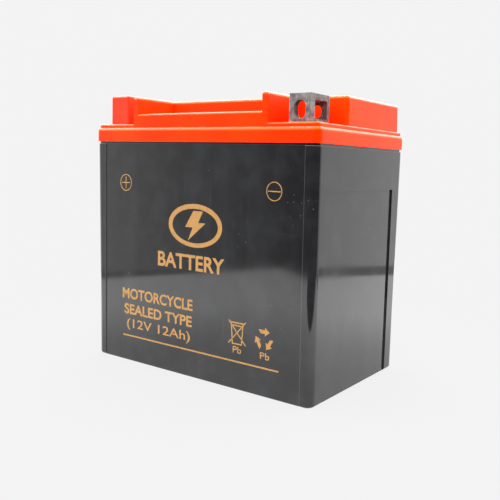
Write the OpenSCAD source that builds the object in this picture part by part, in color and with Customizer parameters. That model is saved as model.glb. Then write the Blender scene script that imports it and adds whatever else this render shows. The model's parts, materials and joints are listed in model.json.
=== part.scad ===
// Sealed six-cell motorcycle battery: black case, orange lid, block terminals.
// Millimetres. Origin at the centre of the base, +X towards the negative
// terminal's side, -Y towards the front (terminal) side, +Z up.

/* [Case] */
// Length of the lid's skirt, the longest size of the battery
body_l = 150; // [149:0.5:152]
// Depth of the lid's skirt, front to back
body_w = 87; // [86:0.5:90]
// Height of the case up to the groove under the lid
case_h = 121; // [119:0.5:121]
// Step from the lid's skirt in to the case, each side, at the top
case_inset = 0.4; // [0.3:0.1:0.6]
// Mould draft of each side wall, from top to bottom
draft = 0.9; // [0.5:0.1:1]
// Radius of the case's upright corners at the floor
case_r = 4; // [3.5:0.5:6]
// Radius of the case's upright corners at the groove under the lid
case_top_r = 3; // [2.5:0.5:5]
// Thickness of the case floor
floor_t = 2.6; // [2:0.1:4]
// Depth of the sunk panel in each end wall
panel_d = 1.1; // [0.6:0.1:1.1]
// Width of the sunk panel in each end wall
panel_w = 65; // [50:1:70]
// Height of the top edge of the sunk panel
panel_h = 100.3; // [80:0.5:110]

/* [Lid] */
// Height of the lid's skirt, from its lower edge to its top edge
skirt_h = 7.8; // [7.5:0.1:8]
// Radius of the skirt's corners
skirt_r = 3; // [2:0.5:4]
// Height of the floor of the terminal notches
notch_z = 131.5; // [131.5:0.1:132]
// Height of the raised deck
deck_z = 146; // [145.1:0.1:146.4]
// Front edge of the raised deck
deck_front = -16; // [-16:0.5:-15]
// Back edge of the raised deck
deck_back = 40; // [38.5:0.5:40.5]
// Distance from the centre to the inside of each upright rib
rib_x = 42.1; // [41:0.1:43]
// Thickness of each upright rib
rib_t = 3.3; // [2.5:0.1:4]
// Height of the low wall along the front of the centre recess
front_wall_z = 136.8; // [135:0.1:139]

/* [Terminals] */
// Distance from the centre to the middle of each terminal
term_x = 60.6; // [60:0.1:61]
// Front face of each terminal block
term_front = -38; // [-38.5:0.1:-37.5]
// Width of each terminal block
term_w = 12.2; // [11.5:0.1:12.5]
// Depth of each terminal block, front to back
term_d = 15.6; // [15:0.1:16]
// Height of the top of each terminal block
term_z = 145; // [144.5:0.1:145]
// Thickness of the block's front wall
term_front_t = 3.3; // [3:0.1:3.5]
// Thickness of the block's back wall
term_back_t = 2; // [1.8:0.1:2.5]
// Width of the bolt slot in the front wall
slot_w = 6.5; // [6.4:0.1:7]
// Height of the bolt slot in the front wall
slot_h = 8.6; // [7.5:0.1:8.6]
// Radius of the round bolt hole in the back wall
bolt_r = 3.1; // [3.1:0.05:3.2]

/* [Cells] */
// Number of positive plates in a cell
pos_count = 5; // [3:1:5]
// Thickness of a positive plate
pos_t = 1.5; // [1.3:0.1:1.5]
// Thickness of a negative plate
neg_t = 1.1; // [0.9:0.1:1.1]
// Thickness of a glass mat separator
mat_t = 0.8; // [0.6:0.05:0.8]
// Thickness of a moulded wall between two cells
part_t = 1.5; // [1.2:0.1:1.6]
// Height of the top of the plates
plate_top = 97; // [90:1:98]
// Width of a plate, front to back
plate_w = 76; // [72:1:78]

/* [Vents] */
// Front to back position of the row of vent spouts
vent_y = 12; // [11.5:0.5:12.5]
// Spacing of the vent spouts along the battery
vent_pitch = 23; // [22.5:0.5:23]
// Outer radius of a vent spout
spout_r = 3.8; // [3.5:0.1:4]
// Radius of the gas hole in a vent spout
gas_r = 2.4; // [2:0.1:2.5]
// Radial running clearance of a rubber valve cap on its spout
valve_gap = 0.06; // [0.03:0.01:0.1]
// Length of the vent cover
cover_l = 131; // [130:0.5:132]
// Width of the vent cover, front to back
cover_w = 23.4; // [22.5:0.1:24]

/* [Hidden] */
$fn = 48;
eps = 0.1;

CELLS = 6;

// Levels of the case and the lid
skirt_z = case_h + 1;
neck_z = case_h + 3.5;
skirt_top = skirt_z + skirt_h;
roof_z = notch_z - 2.5;
deck_roof = deck_z - 2.5;

// Half sizes of the case at its top and bottom
top_x = body_l / 2 - case_inset;
top_y = body_w / 2 - case_inset;
base_x = top_x - draft;
base_y = top_y - draft;
edge_r = 0.6;

// The collar that the lid's skirt stands on, at the bottom of the groove
collar_in = 0.6;

// The hollow that holds the cells
cell_room_x = base_x - 2.5;
cell_room_y = base_y - 2.3;
room_r = 1.5;
cell_w = (2 * cell_room_x - (CELLS - 1) * part_t) / CELLS;
cell_pitch = cell_w + part_t;

// The neck that the lid is sealed over
neck_x = cell_room_x + 1.9;
neck_y = cell_room_y + 1.4;
neck_gap = 0.2;
neck_r = 3;

// The plinth and the deck of the lid
plinth_in = 1.1;
plinth_front = plinth_in - body_w / 2;
deck_x = body_l / 2 - 1.8;
deck_r = 2;
front_wall_t = 2;

// The pocket under the vent cover
cover_t = 2;
cover_gap = 0.3;
cover_r = 3;
ledge = 1.5;
pocket_z = deck_z - 10.5;
spout_z = pocket_z + 5.5;
valve_wall = 1.4;
valve_top_t = 1.5;
valve_skirt = 4;

// The terminal blocks, posts and seals
term_mid_y = term_front + term_d / 2;
slot_mid_z = 137.6;
nut_low = 133.4;
nut_high = 142.1;
post_r = 4;
seal_r = 5.5;
seal_gap = 0.05;
boss_r = 8;
boss_z = 125.5;

// The cap over the positive terminal
cap_t = 0.7;
cap_gap = 0.2;
cap_top_t = 1.2;
cap_z = 147.3;
cap_r = 1;
cap_lift = 0.1;

// The plates, straps and welds of a cell
neg_count = pos_count + 1;
mat_count = 2 * pos_count;
plate_pitch = (pos_t + neg_t) / 2 + mat_t;
stack_w = pos_count * pos_t + neg_count * neg_t + mat_count * mat_t;
plate_z = floor_t + 1;
mat_z = floor_t + 0.5;
mat_over = 1.5;
lug_y = 28;
lug_w = 9;
lug_z = plate_top + 5;
strap_w = 14;
strap_t = 4;
strap_z = lug_z + strap_t;
flag_t = 3;
flag_z = strap_z + 11;
weld_r = 4;
weld_gap = 0.05;
weld_z = strap_z + 5.5;

// Middle of cell n along X, with cell 1 at the positive end
function cell_x(n) = (n - (CELLS + 1) / 2) * cell_pitch;
// Middle of the wall between cells n and n + 1
function wall_x(n) = cell_x(n) + cell_pitch / 2;
// Side of the battery where cell n has its positive strap: -1 front, 1 back
function positive_side(n) = n % 2 == 1 ? -1 : 1;
function vent_x(n) = (n - (CELLS + 1) / 2) * vent_pitch;

// A flat outline with round corners, given by its half sizes
module round_outline(half_x, half_y, r) {
    square([2 * half_x, 2 * (half_y - r)], center = true);
    square([2 * (half_x - r), 2 * half_y], center = true);
    for (x = [-1, 1], y = [-1, 1])
        translate([x * (half_x - r), y * (half_y - r)])
            circle(r);
}

// The same outline raised from z_low to z_high
module round_block(half_x, half_y, r, z_low, z_high) {
    translate([0, 0, z_low])
        linear_extrude(z_high - z_low)
            round_outline(half_x, half_y, r);
}

// A square block given by its two opposite corners
module block(low, high) {
    translate(low)
        cube(high - low);
}

module case_outside() {
    hull() {
        round_block(base_x - edge_r, base_y - edge_r, case_r - edge_r, 0, eps, $fn = 32);
        round_block(base_x, base_y, case_r, edge_r, edge_r + eps, $fn = 32);
        round_block(top_x, top_y, case_top_r, case_h - eps, case_h, $fn = 32);
    }
    round_block(top_x - collar_in, top_y - collar_in, case_top_r, case_h - eps, skirt_z);
    round_block(neck_x, neck_y, neck_r, case_h - eps, neck_z);
}

// The sunk panels of the end walls lean with the wall's draft
module end_panels() {
    lean = atan(draft / case_h);
    for (side = [0, 1])
        mirror([side, 0, 0])
            translate([base_x - panel_d, -panel_w / 2, -eps])
                rotate([0, lean, 0])
                    cube([10, panel_w, panel_h + eps]);
}

module weld_axis(n, r) {
    translate([wall_x(n), positive_side(n + 1) * lug_y, weld_z])
        rotate([0, 90, 0])
            cylinder(h = part_t, r = r, center = true);
}

module case() {
    color([0.09, 0.09, 0.1])
    difference() {
        case_outside();
        end_panels();
        difference() {
            round_block(cell_room_x, cell_room_y, room_r, floor_t, neck_z + eps);
            for (n = [1:CELLS - 1])
                difference() {
                    block([wall_x(n) - part_t / 2, -body_w / 2, 0],
                          [wall_x(n) + part_t / 2, body_w / 2, neck_z + 2 * eps]);
                    weld_axis(n, weld_r, $fn = 48);
                }
        }
    }
}

module lid_outside() {
    round_block(body_l / 2, body_w / 2, skirt_r, skirt_z, skirt_top);
    round_block(body_l / 2 - plinth_in, -plinth_front, deck_r, skirt_top - eps, notch_z);
}

module deck_outside() {
    translate([0, (deck_front + deck_back) / 2, 0])
        round_block(deck_x, (deck_back - deck_front) / 2, deck_r, notch_z, deck_z);
}

// The head space over the cells, with a rib on each wall between two cells
module lid_inside() {
    round_block(neck_x + neck_gap, neck_y + neck_gap, neck_r,
                skirt_z - eps, neck_z + neck_gap);
    difference() {
        union() {
            round_block(cell_room_x, cell_room_y, room_r, skirt_z, roof_z);
            block([-cell_room_x, deck_front + 2.5, roof_z - eps],
                  [cell_room_x, deck_back - 2.5, pocket_z - 2.2]);
            block([-cell_room_x, deck_front + 2.5, roof_z - eps],
                  [cell_room_x, vent_y - cover_w / 2 - 2.5, deck_roof]);
            block([-cell_room_x, vent_y + cover_w / 2 + 2.5, roof_z - eps],
                  [cell_room_x, deck_back - 2.5, deck_roof]);
        }
        for (n = [1:CELLS - 1])
            block([wall_x(n) - part_t / 2, -body_w / 2, neck_z],
                  [wall_x(n) + part_t / 2, body_w / 2, deck_z]);
        for (side = [-1, 1])
            translate([side * term_x, term_mid_y, boss_z])
                cylinder(h = roof_z - boss_z + eps, r = boss_r);
    }
}

// The pocket in the deck, stepped to hold the edge of the vent cover
module vent_pocket() {
    translate([0, vent_y, 0]) {
        round_block(cover_l / 2, cover_w / 2, cover_r, deck_z - cover_t, deck_z + eps);
        round_block(cover_l / 2 - ledge, cover_w / 2 - ledge, cover_r - 1,
                    pocket_z, deck_z);
    }
}

// The lid, its deck and its front frame are one moulding, kept as three
// touching nodes so that each stays close to a simple shape
module lid() {
    color([1, 0.31, 0])
    difference() {
        lid_outside();
        lid_inside();
        for (side = [-1, 1])
            translate([side * term_x, term_mid_y, boss_z - eps])
                cylinder(h = notch_z - boss_z + 2 * eps, r = seal_r);
    }
}

// The raised back of the lid, with the vent spouts in its pocket
module lid_deck() {
    color([1, 0.31, 0])
    difference() {
        union() {
            difference() {
                deck_outside();
                lid_inside();
                vent_pocket();
            }
            for (n = [1:CELLS])
                translate([vent_x(n), vent_y, pocket_z - eps])
                    cylinder(h = spout_z - pocket_z + eps, r = spout_r);
        }
        for (n = [1:CELLS])
            translate([vent_x(n), vent_y, roof_z])
                cylinder(h = spout_z - roof_z + eps, r = gas_r);
    }
}

// The two upright ribs and the low wall round the centre recess
module lid_frame() {
    color([1, 0.31, 0])
    union() {
        for (side = [0, 1])
            mirror([side, 0, 0])
                block([rib_x, plinth_front, notch_z],
                      [rib_x + rib_t, deck_front, deck_z]);
        block([-rib_x - eps, plinth_front, notch_z],
              [rib_x + eps, plinth_front + front_wall_t, front_wall_z]);
    }
}

module vent_cover() {
    color([1, 0.31, 0])
    translate([0, vent_y, 0])
        round_block(cover_l / 2 - cover_gap, cover_w / 2 - cover_gap, cover_r - cover_gap,
                    deck_z - cover_t, deck_z);
}

// A soft cap that seals its spout until the cell's gas lifts it
module relief_valve(n) {
    bore_r = spout_r + valve_gap;
    color([0.12, 0.12, 0.12])
    translate([vent_x(n), vent_y, 0])
        difference() {
            translate([0, 0, spout_z - valve_skirt])
                cylinder(h = valve_skirt + valve_top_t, r = bore_r + valve_wall);
            translate([0, 0, spout_z - valve_skirt - eps])
                cylinder(h = valve_skirt + eps, r = bore_r);
        }
}

// A cast block with a square nut pocket through it from side to side, a
// bolt slot in its front wall and a round hole in its back wall
module terminal(side) {
    x = side * term_x;
    back = term_front + term_d;
    slot_reach = (slot_h - slot_w) / 2;
    color([0.55, 0.55, 0.54])
    difference() {
        block([x - term_w / 2, term_front, notch_z],
              [x + term_w / 2, back, term_z]);
        block([x - term_w, term_front + term_front_t, nut_low],
              [x + term_w, back - term_back_t, nut_high]);
        for (z = [slot_mid_z - slot_reach, slot_mid_z + slot_reach])
            translate([x, term_front - eps, z])
                rotate([-90, 0, 0])
                    cylinder(h = term_front_t + 2 * eps, r = slot_w / 2);
        block([x - slot_w / 2, term_front - eps, slot_mid_z - slot_reach],
              [x + slot_w / 2, term_front + term_front_t + eps, slot_mid_z + slot_reach]);
        translate([x, back - term_back_t - eps, slot_mid_z])
            rotate([-90, 0, 0])
                cylinder(h = term_back_t + 2 * eps, r = bolt_r);
    }
}

module positive_terminal() {
    terminal(-1);
}

module negative_terminal() {
    terminal(1);
}

// The lead post from an end cell's strap up to the foot of its terminal
module post(side) {
    color([0.5, 0.5, 0.52])
    translate([side * term_x, term_mid_y, strap_z])
        cylinder(h = notch_z - strap_z, r = post_r);
}

module positive_post() {
    post(-1);
}

module negative_post() {
    post(1);
}

module post_seal(side) {
    color([0.15, 0.15, 0.15])
    translate([side * term_x, term_mid_y, boss_z])
        difference() {
            cylinder(h = notch_z - boss_z, r = seal_r - seal_gap);
            translate([0, 0, -eps])
                cylinder(h = notch_z - boss_z + 2 * eps, r = post_r + seal_gap);
        }
}

module positive_post_seal() {
    post_seal(-1);
}

module negative_post_seal() {
    post_seal(1);
}

// A push-on plastic box over the positive terminal, open underneath
module positive_cap() {
    half_x = term_w / 2 + cap_gap;
    half_y = term_d / 2 + cap_gap;
    color([1, 0.3, 0.2])
    translate([-term_x, term_mid_y, 0])
        difference() {
            round_block(half_x + cap_t, half_y + cap_t, cap_r, notch_z + cap_lift, cap_z);
            block([-half_x, -half_y, notch_z],
                  [half_x, half_y, cap_z - cap_top_t]);
        }
}

// One plate or mat of a cell's stack; place 0 is the middle of the stack
module sheet(n, place, t, w, z_low, z_high) {
    x = cell_x(n) + place * plate_pitch;
    block([x - t / 2, -w / 2, z_low], [x + t / 2, w / 2, z_high]);
}

// A grid plate with the lug that its strap is cast onto
module plate(n, place, t, side) {
    x = cell_x(n) + place * plate_pitch;
    union() {
        sheet(n, place, t, plate_w, plate_z, plate_top);
        block([x - t / 2, side * lug_y - lug_w / 2, plate_top - eps],
              [x + t / 2, side * lug_y + lug_w / 2, lug_z]);
    }
}

module positive_plates(n) {
    color([0.32, 0.2, 0.15])
    for (i = [0:pos_count - 1])
        plate(n, 2 * i - pos_count + 1, pos_t, positive_side(n));
}

module negative_plates(n) {
    color([0.45, 0.46, 0.47])
    for (i = [0:neg_count - 1])
        plate(n, 2 * i - neg_count + 1, neg_t, -positive_side(n));
}

// Glass mats, one between each pair of neighbouring plates
module separators(n) {
    shift = (pos_t - neg_t) / 4;
    color([0.93, 0.93, 0.9])
    for (i = [0:mat_count - 1]) {
        translate([(i % 2 == 0 ? -1 : 1) * shift, 0, 0])
            sheet(n, i - mat_count / 2 + 0.5, mat_t, plate_w + 2 * mat_over,
                  mat_z, plate_top + mat_over);
    }
}

// A strap joins the plates of one polarity. Its upright flag meets the
// next cell through the wall; toward is -1 or 1, or 0 for an end cell
module strap(n, side, toward) {
    x = cell_x(n);
    y = side * lug_y;
    wall = x + toward * cell_w / 2;
    color([0.5, 0.5, 0.52])
    union() {
        block([x - stack_w / 2, y - strap_w / 2, lug_z],
              [x + stack_w / 2, y + strap_w / 2, strap_z]);
        if (toward != 0)
            block([min(wall, wall - toward * flag_t), y - strap_w / 2, lug_z],
                  [max(wall, wall - toward * flag_t), y + strap_w / 2, flag_z]);
    }
}

module positive_strap(n) {
    strap(n, positive_side(n), n == 1 ? 0 : -1);
}

module negative_strap(n) {
    strap(n, -positive_side(n), n == CELLS ? 0 : 1);
}

// The lead weld that joins two straps through the wall between cells
module cell_weld(n) {
    color([0.55, 0.55, 0.57])
    weld_axis(n, weld_r - weld_gap);
}

case();
lid();
lid_deck();
lid_frame();
vent_cover();
positive_cap();
positive_terminal();
negative_terminal();
positive_post();
negative_post();
positive_post_seal();
negative_post_seal();
for (n = [1:CELLS]) {
    relief_valve(n);
    positive_plates(n);
    negative_plates(n);
    separators(n);
    positive_strap(n);
    negative_strap(n);
}
for (n = [1:CELLS - 1])
    cell_weld(n);
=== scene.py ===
import json
import math
import bmesh
import bpy
from mathutils import Matrix, Vector

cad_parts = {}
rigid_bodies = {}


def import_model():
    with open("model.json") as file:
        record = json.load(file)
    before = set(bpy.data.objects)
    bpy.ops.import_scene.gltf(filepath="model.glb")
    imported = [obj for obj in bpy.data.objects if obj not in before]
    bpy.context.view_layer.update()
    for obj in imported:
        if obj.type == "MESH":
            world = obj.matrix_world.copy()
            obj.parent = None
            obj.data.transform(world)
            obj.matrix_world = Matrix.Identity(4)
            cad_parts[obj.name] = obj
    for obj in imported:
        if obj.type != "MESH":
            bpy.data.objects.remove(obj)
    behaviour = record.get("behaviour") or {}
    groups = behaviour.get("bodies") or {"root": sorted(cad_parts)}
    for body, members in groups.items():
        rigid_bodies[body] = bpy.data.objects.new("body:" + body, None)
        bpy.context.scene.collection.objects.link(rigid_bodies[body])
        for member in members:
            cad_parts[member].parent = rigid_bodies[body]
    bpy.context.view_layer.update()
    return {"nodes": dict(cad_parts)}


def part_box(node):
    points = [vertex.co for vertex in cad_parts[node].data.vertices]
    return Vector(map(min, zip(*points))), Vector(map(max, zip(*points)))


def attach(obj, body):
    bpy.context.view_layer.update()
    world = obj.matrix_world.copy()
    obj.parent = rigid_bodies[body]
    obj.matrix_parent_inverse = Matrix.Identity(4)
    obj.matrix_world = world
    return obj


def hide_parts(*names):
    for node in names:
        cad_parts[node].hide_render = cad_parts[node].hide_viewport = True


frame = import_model()
mm = 0.001

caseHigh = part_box("case")[1]
lidLow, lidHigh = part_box("lid")
coverLow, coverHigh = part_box("vent_cover")
capLow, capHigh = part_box("positive_cap")
blockLow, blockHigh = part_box("negative_terminal")
valveLow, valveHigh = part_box("relief_valve_1")
sealLow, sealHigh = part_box("negative_post_seal")
deckTop = coverHigh.z


# ways of working that every piece shares

def focus(piece):
    bpy.ops.object.select_all(action="DESELECT")
    piece.select_set(True)
    bpy.context.view_layer.objects.active = piece


def addBlock(name, low, high):
    low, high = Vector(low), Vector(high)
    bpy.ops.object.select_all(action="DESELECT")
    bpy.ops.mesh.primitive_cube_add(size=1, location=(low + high) / 2, scale=high - low)
    block = bpy.context.active_object
    block.name = name
    bpy.ops.object.transform_apply(location=True, rotation=True, scale=True)
    for vert in block.data.vertices:    # flush faces have to meet exactly
        vert.co = [low[k] if vert.co[k] < (low[k] + high[k]) / 2 else high[k] for k in range(3)]
    return block


def addRod(name, middle, radius, length, turn=(0, 0, 0), sides=48):
    bpy.ops.object.select_all(action="DESELECT")
    bpy.ops.mesh.primitive_cylinder_add(vertices=sides, radius=radius, depth=length,
                                        location=middle, rotation=turn)
    rod = bpy.context.active_object
    rod.name = name
    bpy.ops.object.transform_apply(location=True, rotation=True, scale=True)
    return rod


def openCage(piece, kind):
    focus(piece)
    bpy.ops.object.mode_set(mode="EDIT")
    bpy.ops.mesh.select_mode(type=kind)
    bpy.ops.mesh.select_all(action="DESELECT")
    return bmesh.from_edit_mesh(piece.data)


def closeCage(piece):
    bmesh.update_edit_mesh(piece.data)
    bpy.ops.object.mode_set(mode="OBJECT")


def roundEdges(piece, wanted, width, steps):    # wanted(a, b) says which edges, by their two ends
    cage = openCage(piece, "EDGE")
    for edge in cage.edges:
        if wanted(edge.verts[0].co, edge.verts[1].co):
            edge.select_set(True)
    bmesh.update_edit_mesh(piece.data)
    bpy.ops.mesh.bevel(offset=width, segments=steps, affect="EDGES")
    closeCage(piece)


def upright(a, b):
    return abs(a.z - b.z) > 0.7 * (a - b).length


def atHeight(level):
    return lambda a, b: max(abs(a.z - level), abs(b.z - level)) < 0.00002


def addTapered(name, *outlines):    # each outline is half length, half depth, corner radius, height
    rings = []
    for halfX, halfY, radius, level in outlines:
        bpy.ops.object.select_all(action="DESELECT")
        bpy.ops.mesh.primitive_plane_add(size=1, location=(0, 0, level))
        ring = bpy.context.active_object
        ring.scale = (2 * halfX, 2 * halfY, 1)
        bpy.ops.object.transform_apply(location=True, rotation=True, scale=True)
        openCage(ring, "VERT")
        bpy.ops.mesh.select_all(action="SELECT")
        bpy.ops.mesh.bevel(offset=radius, segments=8, affect="VERTICES")
        closeCage(ring)
        rings.append(ring)
    focus(rings[0])
    rings[1].select_set(True)
    bpy.ops.object.join()
    body = bpy.context.active_object
    body.name = name
    openCage(body, "FACE")
    bpy.ops.mesh.select_all(action="SELECT")
    bpy.ops.mesh.bridge_edge_loops()
    bpy.ops.mesh.select_all(action="SELECT")
    bpy.ops.mesh.fill_holes(sides=0)
    bpy.ops.mesh.select_all(action="SELECT")
    bpy.ops.mesh.normals_make_consistent(inside=False)
    closeCage(body)
    return body


def drawIn(piece, level, shrinkX, shrinkY, centreY=0):    # leans the walls by scaling one level
    cage = openCage(piece, "VERT")
    ends = [vert for vert in cage.verts if abs(vert.co.z - level) < 0.00002]
    for vert in ends:
        vert.select_set(True)
    halfX = max(abs(vert.co.x) for vert in ends)
    halfY = max(abs(vert.co.y - centreY) for vert in ends)
    bmesh.update_edit_mesh(piece.data)
    bpy.ops.transform.resize(value=(1 - shrinkX / halfX, 1 - shrinkY / halfY, 1),
                             center_override=(0, centreY, level))
    closeCage(piece)


def useModifier(piece, kind, **settings):
    focus(piece)
    change = piece.modifiers.new(kind.title(), kind)
    for name, value in settings.items():
        setattr(change, name, value)
    bpy.ops.object.modifier_apply(modifier=change.name)


def combine(piece, tool, how="DIFFERENCE"):
    useModifier(piece, "BOOLEAN", operation=how, object=tool, solver="EXACT")
    bpy.data.objects.remove(tool)


def mergeFlats(piece):    # one face where a joint left several in a plane
    openCage(piece, "VERT")
    bpy.ops.mesh.select_all(action="SELECT")
    bpy.ops.mesh.remove_doubles(threshold=0.000002)
    bpy.ops.mesh.dissolve_limited(angle_limit=math.radians(0.1))
    closeCage(piece)


def softenEdges(piece, width, steps=2, angle=30):
    useModifier(piece, "BEVEL", width=width, segments=steps, limit_method="ANGLE",
                angle_limit=math.radians(angle), miter_outer="MITER_ARC")


def finishPiece(piece, material, body, nodes=(), angle=32):
    openCage(piece, "VERT")
    bpy.ops.mesh.select_all(action="SELECT")
    bpy.ops.mesh.remove_doubles(threshold=0.000004)
    closeCage(piece)
    focus(piece)
    bpy.ops.object.shade_smooth_by_angle(angle=math.radians(angle))
    for face in piece.data.polygons:
        if face.area > 0.00015:    # broad flat faces stay flat
            face.use_smooth = False
    useModifier(piece, "WEIGHTED_NORMAL", keep_sharp=True, weight=100)
    piece.data.materials.clear()
    piece.data.materials.append(material)
    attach(piece, body)
    if nodes:
        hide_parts(*nodes)


def copyPiece(piece, name, shift):    # with a mesh of its own, moved along X
    twin = piece.copy()
    twin.data = piece.data.copy()
    twin.name = name
    bpy.context.scene.collection.objects.link(twin)
    twin.location.x = shift
    focus(twin)
    bpy.ops.object.transform_apply(location=True, rotation=False, scale=False)
    return twin


def valvePlace(n):
    low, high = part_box("relief_valve_%d" % n)
    return (low.x + high.x) / 2, (low.y + high.y) / 2


# materials are mixed with arithmetic on sockets

class Wire:
    def __init__(self, finish, socket):
        self.finish = finish
        self.socket = socket

    def math(self, operation, first, second=None, clamp=False):
        return self.finish.node("ShaderNodeMath", {"operation": operation, "use_clamp": clamp},
                                {0: first, 1: second})

    def __add__(self, other):
        return self.math("ADD", self, other)

    def __sub__(self, other):
        return self.math("SUBTRACT", self, other)

    def __rsub__(self, other):
        return self.math("SUBTRACT", other, self)

    def __mul__(self, other):
        return self.math("MULTIPLY", self, other)

    __radd__ = __add__
    __rmul__ = __mul__

    def clip(self):
        return self.math("ADD", self, 0, clamp=True)

    def size(self):
        return self.math("ABSOLUTE", self)

    def atMost(self, other):
        return self.math("MINIMUM", self, other)

    def ramp(self, low, high):    # 0 at low, 1 at high, smooth between
        return self.finish.node("ShaderNodeMapRange", {"interpolation_type": "SMOOTHSTEP"},
                                {"Value": self, "From Min": low, "From Max": high})


class Finish:
    def __init__(self, name):
        self.material = bpy.data.materials.new(name)
        self.material.use_nodes = True
        self.tree = self.material.node_tree
        self.surface = self.tree.nodes["Principled BSDF"]

    def node(self, kind, settings=None, inputs=None, output=0):
        made = self.tree.nodes.new(kind)
        for name, value in (settings or {}).items():
            setattr(made, name, value)
        for name, value in (inputs or {}).items():
            self.feed(made.inputs[name], value)
        return Wire(self, made.outputs[output])

    def feed(self, socket, value):
        if isinstance(value, Wire):
            self.tree.links.new(value.socket, socket)
        elif value is not None:
            socket.default_value = value

    def set(self, **sockets):
        for name, value in sockets.items():
            self.feed(self.surface.inputs[name.replace("_", " ")], value)

    def place(self, stretch=(1, 1, 1), turn=(0, 0, 0)):
        spot = self.node("ShaderNodeTexCoord", output=3)
        return self.node("ShaderNodeMapping", None, {"Vector": spot, "Rotation": turn, "Scale": stretch})

    def noise(self, scale, detail=3, rough=0.55, stretch=(1, 1, 1), warp=0, turn=(0, 0, 0)):
        return self.node("ShaderNodeTexNoise", None,
                         {"Vector": self.place(stretch, turn), "Scale": scale, "Detail": detail,
                          "Roughness": rough, "Distortion": warp})

    def specks(self, scale, size):    # 1 inside scattered dots
        spread = self.node("ShaderNodeTexVoronoi", None, {"Vector": self.place(), "Scale": scale})
        return 1 - spread.ramp(size * 0.6, size)

    def axis(self, which):
        spot = self.node("ShaderNodeTexCoord", output=3)
        return self.node("ShaderNodeSeparateXYZ", None, {"Vector": spot}, output=which)

    def blend(self, factor, first, second):
        return self.node("ShaderNodeMix", {"data_type": "RGBA"},
                         {0: factor, 6: first, 7: second}, output=2)

    def bump(self, height, depth, strength):
        return self.node("ShaderNodeBump", None, {"Height": height, "Distance": depth, "Strength": strength})


casePlasticLook = {
    "black": (0.0055, 0.0055, 0.006, 1),
    "rubbed": (0.016, 0.0165, 0.018, 1),
    "dust": (0.09, 0.09, 0.085, 1),
    # painted highlight: a lighter colour laid along each sunk panel's side edge
    "edgeHighlight": (0.045, 0.045, 0.045, 1),
    "shine": 0.06,
    "streakDepth": 0.00002,
    "edgeAt": 67.5 * mm,    # the same as frontPanelHalf
}


def mixCasePlastic(look):
    finish = Finish("casePlastic")
    streaks = finish.noise(55, 3, 0.6, (1, 1, 0.05))
    cloud = finish.noise(14, 4, 0.6)
    scratches = finish.noise(900, 2, 0.5, (1, 1, 0.02), turn=(0.06, 0.09, 0)).ramp(0.71, 0.77)
    crossScratches = finish.noise(700, 2, 0.5, (0.03, 1, 1), turn=(0, 0.5, 0.2)).ramp(0.73, 0.78)
    dust = finish.specks(300, 0.10) * finish.noise(60).ramp(0.52, 0.62)
    mottle = finish.noise(85, 5, 0.65).ramp(0.4, 0.72)
    rubbed = (streaks.ramp(0.45, 0.75) * 0.35 + mottle * 0.4 + scratches * 0.5 + crossScratches * 0.3).clip()
    # painted highlight: a thin, patchy lighter band where |x| meets the panel edge stands in for the light
    # caught on the step
    panelEdgeHighlight = (finish.axis(0).size() - look["edgeAt"]).size().ramp(0.35 * mm, 0.05 * mm)
    colour = finish.blend(rubbed, look["black"], look["rubbed"])
    colour = finish.blend(panelEdgeHighlight * (0.55 + cloud * 0.6), colour, look["edgeHighlight"])
    finish.set(Base_Color=finish.blend(dust * 0.4, colour, look["dust"]),
               Roughness=look["shine"] + cloud.ramp(0.35, 0.75) * 0.05 + streaks.ramp(0.4, 0.8) * 0.04
               + dust * 0.3 + scratches * 0.1,
               Normal=finish.bump(streaks - scratches * 0.5, look["streakDepth"], 0.35))
    finish.set(IOR=1.52)
    return finish.material


lidPlasticLook = {
    "orange": (1.0, 0.012, 0.0, 1),
    "faded": (1.0, 0.018, 0.0, 1),
    "shine": 0.28,
    "glint": (1.0, 0.85, 0.02, 1),
}


def mixLidPlastic(name, look):
    finish = Finish(name)
    cloud = finish.noise(30, 4, 0.55)
    fine = finish.noise(1800, 2, 0.5)
    scuffs = finish.noise(500, 3, 0.6, (1, 0.08, 1), turn=(0, 0, 0.4)).ramp(0.66, 0.74)
    colour = finish.blend(cloud.ramp(0.35, 0.7), look["orange"], look["faded"])
    finish.set(Base_Color=colour,
               Roughness=look["shine"] + cloud * 0.08 + scuffs * 0.15,
               Normal=finish.bump(fine, 0.000012, 0.4))
    finish.set(IOR=1.42, Specular_IOR_Level=0.32, Specular_Tint=look["glint"])
    return finish.material


leadLook = {
    "bright": (0.19, 0.182, 0.178, 1),
    "dull": (0.04, 0.038, 0.037, 1),
    "scale": 260,
}


def mixLead(name, look):
    finish = Finish(name)
    patches = finish.noise(look["scale"], 5, 0.6, warp=0.4)
    grain = finish.noise(look["scale"] * 8, 3, 0.6)
    scores = finish.noise(look["scale"] * 5, 3, 0.6, (1, 1, 0.07), turn=(0.1, 0.2, 0)).ramp(0.58, 0.7)
    shade = (patches.ramp(0.35, 0.68) * 0.7 + scores * 0.5 + grain * 0.15 - 0.05).clip()
    finish.set(Base_Color=finish.blend(shade, look["dull"], look["bright"]),
               Roughness=0.62 - scores * 0.22 + patches * 0.1,
               Metallic=0.55 + scores * 0.3,
               Normal=finish.bump(patches + grain * 0.4 - scores * 0.5, 0.0002, 0.7))
    return finish.material


def mixPaste(name, dark, light):    # active mass pressed in a lead grid, seen as faint squares
    finish = Finish(name)
    gridY = finish.node("ShaderNodeMath", {"operation": "PINGPONG"}, {0: finish.axis(1), 1: 0.003})
    gridZ = finish.node("ShaderNodeMath", {"operation": "PINGPONG"}, {0: finish.axis(2), 1: 0.003})
    wires = gridY.atMost(gridZ).ramp(0.0008, 0.0002)
    crumb = finish.noise(900, 5, 0.65)
    finish.set(Base_Color=finish.blend((crumb.ramp(0.3, 0.7) + wires * 0.35).clip(), dark, light),
               Roughness=0.85 - wires * 0.2,
               Normal=finish.bump(crumb * 0.6 + wires, 0.0002, 0.8))
    return finish.material


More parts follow.
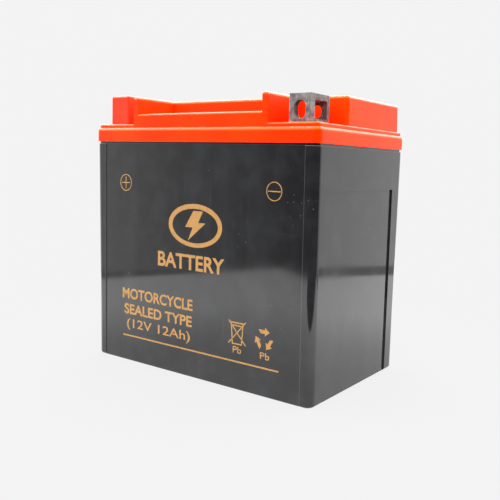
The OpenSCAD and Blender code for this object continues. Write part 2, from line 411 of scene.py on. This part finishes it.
def mixGlassMat():
    finish = Finish("glassMat")
    fibres = finish.noise(1500, 4, 0.7, (1, 0.25, 1), warp=1.5)
    felt = finish.noise(220, 3, 0.6)
    finish.set(Base_Color=finish.blend(fibres.ramp(0.35, 0.65), (0.62, 0.62, 0.58, 1), (0.9, 0.9, 0.87, 1)),
               Roughness=0.88 + felt * 0.1,
               Normal=finish.bump(fibres + felt, 0.00015, 0.8))
    finish.set(Sheen_Weight=0.3)
    return finish.material


def mixRubber(name, tone, rough):
    finish = Finish(name)
    skin = finish.noise(1400, 3, 0.6)
    bloom = finish.noise(120, 3, 0.6).ramp(0.5, 0.75)
    finish.set(Base_Color=finish.blend(bloom * 0.5, tone, tuple(part * 2.6 for part in tone[:3]) + (1,)),
               Roughness=rough + bloom * 0.15,
               Normal=finish.bump(skin, 0.00003, 0.6))
    return finish.material


goldLook = {
    "gold": (0.25, 0.127, 0.032, 1),
    "thin": (0.17, 0.085, 0.024, 1),
}


def mixGoldInk(look):
    finish = Finish("goldInk")
    thin = finish.noise(420, 4, 0.65).ramp(0.5, 0.72)
    grain = finish.noise(3000, 2, 0.5)
    finish.set(Base_Color=finish.blend(thin * 0.7 + grain * 0.1, look["gold"], look["thin"]),
               Roughness=0.42 + grain * 0.12,
               Metallic=0.15 + thin * 0.1,
               Normal=finish.bump(grain, 0.00001, 0.5))
    return finish.material


casePlastic = mixCasePlastic(casePlasticLook)
lidPlastic = mixLidPlastic("lidPlastic", lidPlasticLook)
capPlastic = mixLidPlastic("capPlastic", {"orange": (1.0, 0.012, 0.003, 1), "faded": (1.0, 0.02, 0.006, 1),
                                          "shine": 0.36, "glint": (1.0, 0.7, 0.35, 1)})
blockLead = mixLead("blockLead", leadLook)
strapLead = mixLead("strapLead", {"bright": (0.42, 0.42, 0.43, 1), "dull": (0.2, 0.2, 0.21, 1),
                                  "scale": 150})
positivePaste = mixPaste("positivePaste", (0.045, 0.018, 0.010, 1), (0.13, 0.065, 0.042, 1))
negativePaste = mixPaste("negativePaste", (0.13, 0.135, 0.14, 1), (0.30, 0.31, 0.32, 1))
glassMat = mixGlassMat()
valveRubber = mixRubber("valveRubber", (0.016, 0.016, 0.017, 1), 0.55)
sealResin = mixRubber("sealResin", (0.02, 0.02, 0.021, 1), 0.3)
goldInk = mixGoldInk(goldLook)
print("materials mixed")


# the black case, with its six cells and its neck under the lid

caseShape = {
    "grooveHeight": 121 * mm,
    "draft": 0.9 * mm,
    "footCorner": 4 * mm,
    "topCorner": 3 * mm,
    "footRadius": 1.3 * mm,
    "topRound": 0.4 * mm,
    "frontPanelHalf": 67.5 * mm,    # the front and back are sunk between the corners
    "frontPanelDepth": 0.5 * mm,
    "endPanelHalf": 32.5 * mm,
    "endPanelTop": 100.3 * mm,
    "endPanelDepth": 0.85 * mm,
    "endPanelLip": 0.5 * mm,
    "floor": 2.6 * mm,
    "wallX": 2.5 * mm,
    "wallY": 2.3 * mm,
    "innerWall": 1.5 * mm,
    "collarInset": 0.6 * mm,    # the collar fills the groove under the lid
    "collarRise": 0.99 * mm,
    "neckWallX": 1.9 * mm,
    "neckWallY": 1.4 * mm,
    "neckCorner": 3 * mm,
    "cells": 6,
    "cellCorner": 0.8 * mm,
    "weldHoleRadius": 4 * mm,
    "softEdge": 0.22 * mm,
}
frontLean = math.atan(caseShape["draft"] / caseShape["grooveHeight"])
caseBaseY = caseHigh.y - caseShape["draft"]
caseBaseX = caseHigh.x - caseShape["draft"]
roomX = caseBaseX - caseShape["wallX"]
roomY = caseBaseY - caseShape["wallY"]
cellWide = (2 * roomX - (caseShape["cells"] - 1) * caseShape["innerWall"]) / caseShape["cells"]
cellLefts = [-roomX + n * (cellWide + caseShape["innerWall"]) for n in range(caseShape["cells"])]


def sinkPanel(shell, sunk, place, lean, half):    # half turn for the back and the left end
    sunk.location = place
    sunk.rotation_euler = lean
    focus(sunk)
    bpy.ops.object.transform_apply(location=True, rotation=True, scale=True)
    bpy.ops.transform.rotate(value=half, orient_axis="Z", center_override=(0, 0, 0))
    bpy.ops.object.transform_apply(location=True, rotation=True, scale=True)
    combine(shell, sunk)


def buildCase(shape):
    top = shape["grooveHeight"]
    wide, deep = caseHigh.x, caseHigh.y
    shell = addTapered("case_shell", (caseBaseX, caseBaseY, shape["footCorner"], 0),
                       (wide, deep, shape["topCorner"], top))
    roundEdges(shell, atHeight(0), shape["footRadius"], 4)
    roundEdges(shell, atHeight(top), shape["topRound"], 3)
    for half in (0, math.pi):
        sunk = addBlock("front_panel", (-shape["frontPanelHalf"], -8 * mm, -5 * mm),
                        (shape["frontPanelHalf"], 0, top + 5 * mm))
        sinkPanel(shell, sunk, (0, shape["frontPanelDepth"] - caseBaseY, 0), (frontLean, 0, 0), half)
        sunk = addBlock("end_panel", (0, -shape["endPanelHalf"], -5 * mm),
                        (8 * mm, shape["endPanelHalf"], shape["endPanelTop"]))
        sinkPanel(shell, sunk, (caseBaseX - shape["endPanelDepth"], 0, 0), (0, frontLean, 0), half)
    lip = caseHigh.x - 0.5 * mm
    roundEdges(shell, lambda a, b: min(abs(a.x), abs(b.x)) > lip and abs(a.y - b.y) > 0.01
               and max(abs(a.z - shape["endPanelTop"]), abs(b.z - shape["endPanelTop"])) < 0.2 * mm,
               shape["endPanelLip"], 4)
    softenEdges(shell, shape["softEdge"])

    inset = shape["collarInset"]
    collar = addBlock("collar", (inset - wide, inset - deep, top - 1 * mm),
                      (wide - inset, deep - inset, top + shape["collarRise"]))
    roundEdges(collar, upright, shape["topCorner"] - inset, 8)
    combine(shell, collar, "UNION")
    neck = addBlock("neck", (-roomX - shape["neckWallX"], -roomY - shape["neckWallY"], top - 1 * mm),
                    (roomX + shape["neckWallX"], roomY + shape["neckWallY"], caseHigh.z))
    roundEdges(neck, upright, shape["neckCorner"], 6)
    combine(shell, neck, "UNION")
    for left in cellLefts:
        cell = addBlock("cell", (left, -roomY, shape["floor"]),
                        (left + cellWide, roomY, caseHigh.z + 1 * mm))
        roundEdges(cell, upright, shape["cellCorner"], 3)
        combine(shell, cell)
    for n in range(1, shape["cells"]):
        low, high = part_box("cell_weld_%d" % n)
        hole = addRod("weld_hole", (low + high) / 2, shape["weldHoleRadius"], 4 * mm, (0, math.pi / 2, 0))
        combine(shell, hole)
    return shell


caseShell = buildCase(caseShape)
finishPiece(caseShell, casePlastic, "battery", ["case"])
print("case built")


# the orange lid, one moulding with the vent spouts

lidShape = {
    "skirtTop": 129.8 * mm,
    "skirtCorner": 3 * mm,
    "skirtRound": 2.2 * mm,
    "skirtFootRound": 0.3 * mm,
    "plinthInset": 1.1 * mm,
    "plinthTop": 131.5 * mm,
    "plinthCorner": 2 * mm,
    "plinthRound": 0.8 * mm,
    "deckHalf": 73.2 * mm,
    "deckFront": -16 * mm,
    "deckBack": 40 * mm,
    "deckLean": 0.3 * mm,
    "deckCorner": 2 * mm,
    "ribInside": 42.1 * mm,
    "ribThick": 3.3 * mm,
    "wallTop": 136.8 * mm,
    "wallThick": 2 * mm,
    "topRound": 1.55 * mm,
    "wallRound": 0.95 * mm,
    "softEdge": 0.22 * mm,
    "coverGap": 0.3 * mm,
    "coverLedge": 1.5 * mm,
    "coverCorner": 3 * mm,
    "coverRimRound": 0.25 * mm,
    "pocketDepth": 10.5 * mm,
    "pocketCorner": 2 * mm,
    "spoutHeight": 5.5 * mm,
    "spoutRadius": 3.8 * mm,
    "gasRadius": 2.4 * mm,
    "roof": 129 * mm,
    "socketGap": 0.2 * mm,    # between the lid and the case's neck
    "socketCorner": 4.5 * mm,
    "bossRadius": 8 * mm,
    "postHoleRadius": 5.5 * mm,
}


def buildLid(shape):
    skirt = addBlock("lid_shell", (lidLow.x, lidLow.y, lidLow.z), (lidHigh.x, lidHigh.y, shape["skirtTop"]))
    roundEdges(skirt, upright, shape["skirtCorner"], 7)
    roundEdges(skirt, atHeight(shape["skirtTop"]), shape["skirtRound"], 6)
    roundEdges(skirt, atHeight(lidLow.z), shape["skirtFootRound"], 2)
    front = lidLow.y + shape["plinthInset"]
    edge = lidHigh.x - shape["plinthInset"]
    under = shape["skirtTop"] - 1.5 * mm
    plinth = addBlock("plinth", (-edge, front, under), (edge, -front, shape["plinthTop"]))
    roundEdges(plinth, upright, shape["plinthCorner"], 6)
    roundEdges(plinth, atHeight(shape["plinthTop"]), shape["plinthRound"], 3)
    middleY = (shape["deckFront"] + shape["deckBack"]) / 2
    deck = addBlock("deck", (-shape["deckHalf"], shape["deckFront"], under),
                    (shape["deckHalf"], shape["deckBack"], deckTop))
    roundEdges(deck, upright, shape["deckCorner"], 6)
    drawIn(deck, deckTop, shape["deckLean"], shape["deckLean"], middleY)
    combine(plinth, deck, "UNION")
    for side in (-1, 1):
        inside, outside = side * shape["ribInside"], side * (shape["ribInside"] + shape["ribThick"])
        rib = addBlock("rib", (min(inside, outside), front, under),
                       (max(inside, outside), shape["deckFront"] + 4 * mm, deckTop))
        combine(plinth, rib, "UNION")
    wall = addBlock("recess_wall", (-shape["ribInside"], front, under),
                    (shape["ribInside"], front + shape["wallThick"], shape["wallTop"]))
    roundEdges(wall, lambda a, b: atHeight(shape["wallTop"])(a, b) and abs(a.x - b.x) > 0.01,
               shape["wallRound"], 4)
    combine(plinth, wall, "UNION")
    mergeFlats(plinth)
    roundEdges(plinth, atHeight(deckTop), shape["topRound"], 5)
    combine(skirt, plinth, "UNION")
    mergeFlats(skirt)
    softenEdges(skirt, shape["softEdge"])

    pocketFloor = deckTop - shape["pocketDepth"]
    gap = shape["coverGap"]
    for inset, floorLevel, corner in ((-gap, coverLow.z, shape["coverCorner"]),
                                      (shape["coverLedge"] - gap, pocketFloor, shape["pocketCorner"])):
        pocket = addBlock("pocket", (coverLow.x + inset, coverLow.y + inset, floorLevel),
                          (coverHigh.x - inset, coverHigh.y - inset, deckTop + 1 * mm))
        roundEdges(pocket, upright, corner, 5)
        combine(skirt, pocket)
    rim = 0.5 * mm
    roundEdges(skirt, lambda a, b: atHeight(deckTop)(a, b) and coverLow.x - rim < min(a.x, b.x)
               and max(a.x, b.x) < coverHigh.x + rim and coverLow.y - rim < min(a.y, b.y)
               and max(a.y, b.y) < coverHigh.y + rim, shape["coverRimRound"], 2)
    for n in range(1, 7):
        x, y = valvePlace(n)
        spout = addRod("spout", (x, y, pocketFloor + shape["spoutHeight"] / 2 - 0.25 * mm),
                       shape["spoutRadius"], shape["spoutHeight"] + 0.5 * mm)
        combine(skirt, spout, "UNION")

    outX = roomX + caseShape["neckWallX"] + shape["socketGap"]
    outY = roomY + caseShape["neckWallY"] + shape["socketGap"]
    socket = addBlock("socket", (-outX, -outY, lidLow.z - 1 * mm),
                      (outX, outY, caseHigh.z + shape["socketGap"]))
    roundEdges(socket, upright, shape["socketCorner"], 6)
    combine(skirt, socket)
    postX, postY = (sealLow.x + sealHigh.x) / 2, (sealLow.y + sealHigh.y) / 2
    deckRoof = deckTop - 2.5 * mm
    hollows = ((-13.5 * mm, 37.5 * mm, pocketFloor - 2.2 * mm),    # from, to and top of each, under the deck
               (-13.5 * mm, -2.2 * mm, deckRoof),
               (26.2 * mm, 37.5 * mm, deckRoof))
    for left in cellLefts:
        right = left + cellWide
        headSpace = addBlock("head_space", (left, -roomY, lidLow.z), (right, roomY, shape["roof"]))
        for near, far, top in hollows:
            upper = addBlock("upper", (left, near, shape["roof"] - 1 * mm), (right, far, top))
            combine(headSpace, upper, "UNION")
        if left in (cellLefts[0], cellLefts[-1]):
            boss = addRod("boss", (postX if left > 0 else -postX, postY,
                                   (sealLow.z + shape["roof"]) / 2 + 1 * mm),
                          shape["bossRadius"], shape["roof"] - sealLow.z + 2 * mm)
            combine(headSpace, boss)
        combine(skirt, headSpace)
    for n in range(1, 7):
        x, y = valvePlace(n)
        gas = addRod("gas", (x, y, shape["roof"] + 6 * mm), shape["gasRadius"], 20 * mm, sides=32)
        combine(skirt, gas)
    for side in (-1, 1):
        hole = addRod("post_hole", (side * postX, postY, sealLow.z), shape["postHoleRadius"], 20 * mm)
        combine(skirt, hole)
    return skirt


lidShell = buildLid(lidShape)
finishPiece(lidShell, lidPlastic, "battery", ["lid", "lid_deck", "lid_frame"])
print("lid built")


# the vent cover, flush in the deck

coverShape = {
    "corner": 2.7 * mm,
    "dishRadius": 7 * mm,
    "dishDepth": 0.5 * mm,
    "dishWidth": 1.2 * mm,
    "buttonDrop": 0.1 * mm,
    "notchLong": 5 * mm,
    "notchDeep": 1.2 * mm,
    "softEdge": 0.3 * mm,
}


def buildVentCover(shape):
    cover = addBlock("vent_cover_plate", coverLow, coverHigh)
    roundEdges(cover, upright, shape["corner"], 5)
    for n in range(1, 7):
        middle = (*valvePlace(n), coverHigh.z)
        dish = addRod("dish", middle, shape["dishRadius"], 2 * shape["dishDepth"])
        combine(cover, dish)
        button = addRod("button", middle, shape["dishRadius"] - shape["dishWidth"],
                        2 * shape["dishDepth"] - shape["buttonDrop"])
        combine(cover, button, "UNION")
    middleY = (coverLow.y + coverHigh.y) / 2
    half = shape["notchLong"] / 2
    for side in (-1, 1):
        end = side * coverHigh.x
        notch = addBlock("notch", (end - shape["notchDeep"], middleY - half, coverLow.z - 1 * mm),
                         (end + shape["notchDeep"], middleY + half, coverHigh.z + 1 * mm))
        combine(cover, notch)
    softenEdges(cover, shape["softEdge"])
    return cover


ventCover = buildVentCover(coverShape)
finishPiece(ventCover, lidPlastic, "vent_cover", ["vent_cover"])


# one rubber relief valve, then its copies

valveShape = {
    "outerRadius": 5.26 * mm,
    "boreRadius": 3.86 * mm,
    "boreDepth": 4 * mm,
    "beadHeight": 1.1 * mm,
    "beadInset": 0.5 * mm,
    "dimple": 0.4 * mm,
    "dimpleRadius": 2.4 * mm,
    "softEdge": 0.22 * mm,
}


def buildValve(shape):
    middle = (valveLow + valveHigh) / 2
    cap = addRod("relief_cap", middle, shape["outerRadius"], valveHigh.z - valveLow.z)
    neck = valveHigh.z - valveLow.z - 2 * shape["beadHeight"]
    groove = addRod("groove", middle, shape["outerRadius"] + 1 * mm, neck)
    core = addRod("core", middle, shape["outerRadius"] - shape["beadInset"], neck + 1 * mm)
    combine(groove, core)
    combine(cap, groove)
    dimple = addRod("dimple", (middle.x, middle.y, valveHigh.z), shape["dimpleRadius"], 2 * shape["dimple"])
    combine(cap, dimple)
    bore = addRod("bore", (middle.x, middle.y, valveLow.z), shape["boreRadius"], 2 * shape["boreDepth"])
    combine(cap, bore)
    softenEdges(cap, shape["softEdge"])
    return cap


firstValve = buildValve(valveShape)
firstValve.name = "relief_cap_1"
for n in range(2, 7):
    low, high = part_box("relief_valve_%d" % n)
    copyPiece(firstValve, "relief_cap_%d" % n, low.x - valveLow.x)
for n in range(1, 7):
    finishPiece(bpy.data.objects["relief_cap_%d" % n], valveRubber, "relief_valve_%d" % n,
                ["relief_valve_%d" % n])
print("vents built")


# the two cast terminal blocks

blockShape = {
    "frontWall": 3.3 * mm,
    "backWall": 2 * mm,
    "pocketLow": 133.4 * mm,
    "pocketHigh": 142.1 * mm,
    "pocketCorner": 0.6 * mm,
    "slotWide": 6.5 * mm,
    "slotHigh": 8.6 * mm,
    "holeHeight": 137.6 * mm,
    "holeRadius": 3.1 * mm,
    "softEdge": 0.35 * mm,
}


def buildBlock(shape, name):
    block = addBlock(name, blockLow, blockHigh)
    middleX = (blockLow.x + blockHigh.x) / 2
    inner, outer = blockLow.y + shape["frontWall"], blockHigh.y - shape["backWall"]
    pocket = addBlock("nut_pocket", (blockLow.x - 2 * mm, inner, shape["pocketLow"]),
                      (blockHigh.x + 2 * mm, outer, shape["pocketHigh"]))
    roundEdges(pocket, lambda a, b: abs(a.x - b.x) > 0.005, shape["pocketCorner"], 3)
    combine(block, pocket)
    slot = addBlock("slot", (middleX - shape["slotWide"] / 2, blockLow.y - 1 * mm,
                             shape["holeHeight"] - shape["slotHigh"] / 2),
                    (middleX + shape["slotWide"] / 2, blockLow.y + shape["frontWall"] + 1 * mm,
                     shape["holeHeight"] + shape["slotHigh"] / 2))
    roundEdges(slot, lambda a, b: abs(a.y - b.y) > 0.002, shape["slotWide"] / 2 * 0.999, 12)
    combine(block, slot)
    hole = addRod("bolt_hole", (middleX, blockHigh.y, shape["holeHeight"]), shape["holeRadius"],
                  2.5 * shape["backWall"], (math.pi / 2, 0, 0))
    combine(block, hole)
    softenEdges(block, shape["softEdge"], 2)
    return block


negativeBlock = buildBlock(blockShape, "negative_block")
positiveBlock = copyPiece(negativeBlock, "positive_block", -(blockLow.x + blockHigh.x))
finishPiece(negativeBlock, blockLead, "battery", ["negative_terminal"])
finishPiece(positiveBlock, blockLead, "battery", ["positive_terminal"])


# the push-on cap over the positive terminal

capShape = {
    "wall": 0.7 * mm,
    "top": 1.2 * mm,
    "corner": 1 * mm,
    "topRound": 0.95 * mm,
    "softEdge": 0.15 * mm,
}


def buildCap(shape):
    cap = addBlock("terminal_cap", capLow, capHigh)
    roundEdges(cap, upright, shape["corner"], 4)
    roundEdges(cap, atHeight(capHigh.z), shape["topRound"], 3)
    inside = addBlock("inside", (capLow.x + shape["wall"], capLow.y + shape["wall"], capLow.z - 1 * mm),
                      (capHigh.x - shape["wall"], capHigh.y - shape["wall"], capHigh.z - shape["top"]))
    combine(cap, inside)
    softenEdges(cap, shape["softEdge"])
    return cap


terminalCap = buildCap(capShape)
finishPiece(terminalCap, capPlastic, "positive_cap", ["positive_cap"])
print("terminals built")


# gold printing on the front, all of it generic

printShape = {
    "thick": 0.03 * mm,
    "curveSteps": 6,
}


def frontPlace(x, z):    # a point on the leaning front panel, given in millimetres
    y = caseShape["frontPanelDepth"] - caseBaseY - caseShape["draft"] * z * mm / caseShape["grooveHeight"]
    return Vector((x * mm, y, z * mm))


def layOnFront(ink, x, z, name):
    ink.rotation_euler = (math.pi / 2 + frontLean, 0, 0)
    ink.location = frontPlace(x, z) + Vector((0, -0.8 * printShape["thick"], 0))
    focus(ink)
    bpy.ops.object.transform_apply(location=True, rotation=True, scale=True)
    ink.name = name
    finishPiece(ink, goldInk, "battery")


def printWords(words, name, left, right, low, high, bold=0.0):
    bpy.ops.object.select_all(action="DESELECT")
    bpy.ops.object.text_add(location=(0, 0, 0))
    ink = bpy.context.active_object
    ink.data.body = words
    ink.data.size = 10 * mm
    ink.data.offset = bold * mm
    ink.data.extrude = printShape["thick"]
    ink.data.resolution_u = printShape["curveSteps"]
    bpy.ops.object.convert(target="MESH")
    spots = [vert.co for vert in ink.data.vertices]
    lowX, highX = min(spot.x for spot in spots), max(spot.x for spot in spots)
    lowY, highY = min(spot.y for spot in spots), max(spot.y for spot in spots)
    stretchX, stretchY = (right - left) * mm / (highX - lowX), (high - low) * mm / (highY - lowY)
    ink.data.transform(Matrix.Translation((-lowX, -lowY, 0)))
    ink.scale = (stretchX, stretchY, 1)
    focus(ink)
    bpy.ops.object.transform_apply(location=False, rotation=False, scale=True)
    layOnFront(ink, left, low, name)


def printLoops(name, loops, x, z):    # in millimetres round (x, z), where a loop in a loop is a hole
    outline = bpy.data.curves.new(name, "CURVE")
    outline.dimensions = "2D"
    outline.fill_mode = "BOTH"
    outline.extrude = printShape["thick"]
    for loop in loops:
        spline = outline.splines.new("POLY")
        spline.points.add(len(loop) - 1)
        for point, (across, up) in zip(spline.points, loop):
            point.co = (across * mm, up * mm, 0, 1)
        spline.use_cyclic_u = True
    ink = bpy.data.objects.new(name, outline)
    bpy.context.scene.collection.objects.link(ink)
    focus(ink)
    bpy.ops.object.convert(target="MESH")
    layOnFront(bpy.context.active_object, x, z, name)


def circleLoop(radius, sides=48):
    return [(radius * math.cos(2 * math.pi * k / sides), radius * math.sin(2 * math.pi * k / sides))
            for k in range(sides)]


def boxLoop(halfWide, halfHigh, x=0.0, z=0.0):
    return [(x - halfWide, z - halfHigh), (x + halfWide, z - halfHigh),
            (x + halfWide, z + halfHigh), (x - halfWide, z + halfHigh)]


def crossLoop(reach, half):
    return [(reach, -half), (reach, half), (half, half), (half, reach), (-half, reach), (-half, half),
            (-reach, half), (-reach, -half), (-half, -half), (-half, -reach), (half, -reach), (half, -half)]


def turned(loop, angle):
    return [(x * math.cos(angle) - z * math.sin(angle), x * math.sin(angle) + z * math.cos(angle))
            for x, z in loop]


def printMarks():
    printLoops("plus_sign", [circleLoop(4.6), circleLoop(4.15), crossLoop(3.3, 0.27)], -51, 99.6)
    printLoops("minus_sign", [circleLoop(4.6), circleLoop(4.15), boxLoop(3.7, 0.25)], 50.5, 99.4)
    outer = [(x * 1.65, z) for x, z in circleLoop(11.2, 64)]
    inner = [(x * 1.65, z * 0.93 - 0.15) for x, z in circleLoop(9.5, 64)]
    bolt = [(-1.0, 7.6), (5.6, 7.6), (2.4, 1.7), (7.4, 1.7), (-4.6, -7.9), (-1.4, -1.0), (-6.6, -1.0)]
    printLoops("bolt_emblem", [outer, inner, bolt], 0.5, 79.5)
    printWords("BATTERY", "word_battery", -25.8, 20.7, 56.3, 64.3, 0.25)
    printWords("MOTORCYCLE", "word_motorcycle", -53.5, -0.3, 35, 41, 0.25)
    printWords("SEALED TYPE", "word_sealed", -52, -0.8, 26.4, 32.2, 0.25)
    printWords("(12V 12Ah)", "word_rating", -50, -2, 17.4, 23.9, 0.1)
    printLoops("rule", [boxLoop(54, 0.4)], 1.2, 14.2)
    binOutline = [[(-4, 4.2), (4, 4.2), (3.2, -5.6), (-3.2, -5.6)],
                  [(-3.3, 3.6), (3.3, 3.6), (2.6, -5), (-2.6, -5)]]
    printLoops("bin_sign", binOutline + [boxLoop(4.9, 0.35, 0, 5.3)], 29.6, 28.4)
    printLoops("bin_cross_a", [turned(boxLoop(8, 0.3), 0.82)], 29.6, 28.8)
    printLoops("bin_cross_b", [turned(boxLoop(8, 0.3), -0.82)], 29.6, 28.8)
    arrow = [(-3.2, 3.1), (0.6, 3.1), (0.6, 4.3), (3.4, 2.2), (0.6, 0.1), (0.6, 1.3), (-2.0, 1.3)]
    arrows = [turned([(x, z + 1.6) for x, z in arrow], -2 * math.pi * k / 3) for k in range(3)]
    printLoops("loop_sign", arrows, 46.2, 28.2)
    printWords("Pb", "lead_sign_a", 27, 32.4, 18.5, 21.8, 0.1)
    printWords("Pb", "lead_sign_b", 44, 49.7, 18.5, 21.8, 0.1)


printMarks()
print("printing laid on")


# pieces inside the case keep their modelled shape and take their own finish

insideFinishes = {
    "positive_plates": positivePaste,
    "negative_plates": negativePaste,
    "separators": glassMat,
    "positive_strap": strapLead,
    "negative_strap": strapLead,
    "cell_weld": strapLead,
    "positive_post_seal": sealResin,
    "negative_post_seal": sealResin,
    "positive_post": strapLead,
    "negative_post": strapLead,
}
for name, node in frame["nodes"].items():
    for start, material in insideFinishes.items():
        if name.startswith(start):
            node.data.materials.clear()
            node.data.materials.append(material)
            break
print("inside finished")


# the camera, low and to the right of the front

cameraShape = {
    "turn": 32.969,
    "tilt": 4.509,
    "roll": 1.774,
    "distance": 365.4 * mm,
    "aimHeight": 72 * mm,
    "sideStep": 38.134 * mm,
    "upStep": 9.915 * mm,
    "lens": 46.44,
    "shiftX": -0.1267,
    "shiftY": -0.0662,
}


def addCamera(shape):
    turn, tilt, roll = (math.radians(shape[name]) for name in ("turn", "tilt", "roll"))
    back = Vector((math.sin(turn) * math.cos(tilt), -math.cos(turn) * math.cos(tilt), math.sin(tilt)))
    levelRight = (-back).cross(Vector((0, 0, 1))).normalized()
    levelUp = levelRight.cross(-back)
    right = math.cos(roll) * levelRight + math.sin(roll) * levelUp
    up = -math.sin(roll) * levelRight + math.cos(roll) * levelUp
    bpy.ops.object.camera_add()
    camera = bpy.context.active_object
    aim = Vector((0, 0, shape["aimHeight"]))
    camera.matrix_world = Matrix.LocRotScale(
        aim + back * shape["distance"] + right * shape["sideStep"] + up * shape["upStep"],
        Matrix((right, up, back)).transposed(), None)
    camera.data.lens = shape["lens"]
    camera.data.shift_x = shape["shiftX"]
    camera.data.shift_y = shape["shiftY"]
    camera.data.clip_start = 0.01
    bpy.context.scene.camera = camera


addCamera(cameraShape)


# a pale sheet on the table, a bright room behind it and a dark one behind the camera

studioLook = {
    "paper": 0.896,    # what the camera sees of the sheet and of the room
    "sheetLight": 2.3,    # what the glossy walls see of the sheet
    "sheetFall": 0.5,    # how much less of it close to the case, a painted shade in the sheet's glow
    "fallFrom": 0.22,
    "fallTo": 0.07,
    "sheetShadow": 0.012,
    "shadowFrom": 0.2,
    "shadowTo": 0.1,
    "shadowCut": 4.75,    # takes back the light that the shadow's own paper adds
    "sheetLeft": -0.315,
    "sheetRight": 0.345,
    "sheetFront": 0.20,
    "sheetBack": -0.75,
    "leftStrip": 0.035,
    "rightStrip": 0.055,
    "roomBright": 1.45,
    "roomDark": 0.10,
    "darkFrom": 0.45,    # how far a direction leans to the camera
    "brightFrom": -0.1,
    "overhead": 9,
    "overheadFrom": 0.2,    # how far a direction leans up
    "overheadFull": 0.6,
}
awayTurn = math.radians(cameraShape["turn"])


def addSheet(name, left, right, back, front, drop):    # square to the camera
    sheet = addBlock(name, (left, -front, -drop - 1 * mm), (right, -back, -drop))
    sheet.rotation_euler = (0, 0, awayTurn)
    focus(sheet)
    bpy.ops.object.transform_apply(location=True, rotation=True, scale=True)
    return sheet


def layTable(look):
    sheet = addSheet("table", look["sheetLeft"], look["sheetRight"], look["sheetBack"], look["sheetFront"],
                     0.02 * mm)
    finish = Finish("tablePaper")
    grain = finish.noise(400, 2)
    spread = finish.node("ShaderNodeVectorMath", {"operation": "LENGTH"}, {0: finish.place()}, output=1)
    seen = finish.node("ShaderNodeLightPath")
    near = spread.ramp(look["shadowFrom"], look["shadowTo"])
    shine = look["sheetLight"] * (1 - spread.ramp(look["fallFrom"], look["fallTo"]) * look["sheetFall"])
    shown = shine * (1 - seen) + seen * (look["paper"] - near * look["shadowCut"] * look["sheetShadow"])
    finish.set(Base_Color=finish.blend(grain, (0.8, 0.8, 0.8, 1), (0.84, 0.84, 0.84, 1)),
               Roughness=0.85 + grain * 0.1)
    glow = finish.node("ShaderNodeEmission", None, {"Color": (1, 1, 1, 1), "Strength": shown})
    mixed = finish.node("ShaderNodeMixShader", None,
                        {0: 1 - near * look["sheetShadow"],
                         1: Wire(finish, finish.surface.outputs[0]), 2: glow})
    finish.tree.links.new(mixed.socket, finish.tree.nodes["Material Output"].inputs["Surface"])
    sheet.data.materials.append(finish.material)
    shade = Finish("edgeShade")
    shade.set(Base_Color=(0.02, 0.02, 0.02, 1), Roughness=0.9)
    for name, left, right in (("left_edge", look["sheetLeft"] - look["leftStrip"], look["sheetLeft"]),
                              ("right_edge", look["sheetRight"], look["sheetRight"] + look["rightStrip"])):
        strip = addSheet(name, left, right, look["sheetBack"], look["sheetFront"], 0.5 * mm)
        strip.visible_camera = False
        strip.data.materials.append(shade.material)


class Room(Finish):
    def __init__(self, name):
        self.world = bpy.data.worlds.new(name)
        self.world.use_nodes = True
        self.tree = self.world.node_tree
        self.surface = self.tree.nodes["World Output"]

    def light(self, strength):
        return self.node("ShaderNodeBackground", None, {"Color": (1, 1, 1, 1), "Strength": strength})


def lightStudio(look):
    room = Room("studio")
    way = room.node("ShaderNodeTexCoord")
    toCamera = room.node("ShaderNodeVectorMath", {"operation": "DOT_PRODUCT"},
                         {0: way, 1: (math.sin(awayTurn), -math.cos(awayTurn), 0)}, output=1)
    around = room.node("ShaderNodeMapRange", {"interpolation_type": "SMOOTHSTEP"},
                       {"Value": toCamera, "From Min": look["darkFrom"], "From Max": look["brightFrom"],
                        "To Min": look["roomDark"], "To Max": look["roomBright"]})
    height = room.node("ShaderNodeSeparateXYZ", None, {0: way}, output=2)
    overhead = height.ramp(look["overheadFrom"], look["overheadFull"]) * look["overhead"]
    seen = room.node("ShaderNodeLightPath")
    mixed = room.node("ShaderNodeMixShader", None,
                      {0: seen, 1: room.light(around + overhead), 2: room.light(look["paper"])})
    room.set(Surface=mixed)
    bpy.context.scene.world = room.world
    bpy.context.scene.view_settings.view_transform = "Standard"


layTable(studioLook)
lightStudio(studioLook)
print("studio lit")
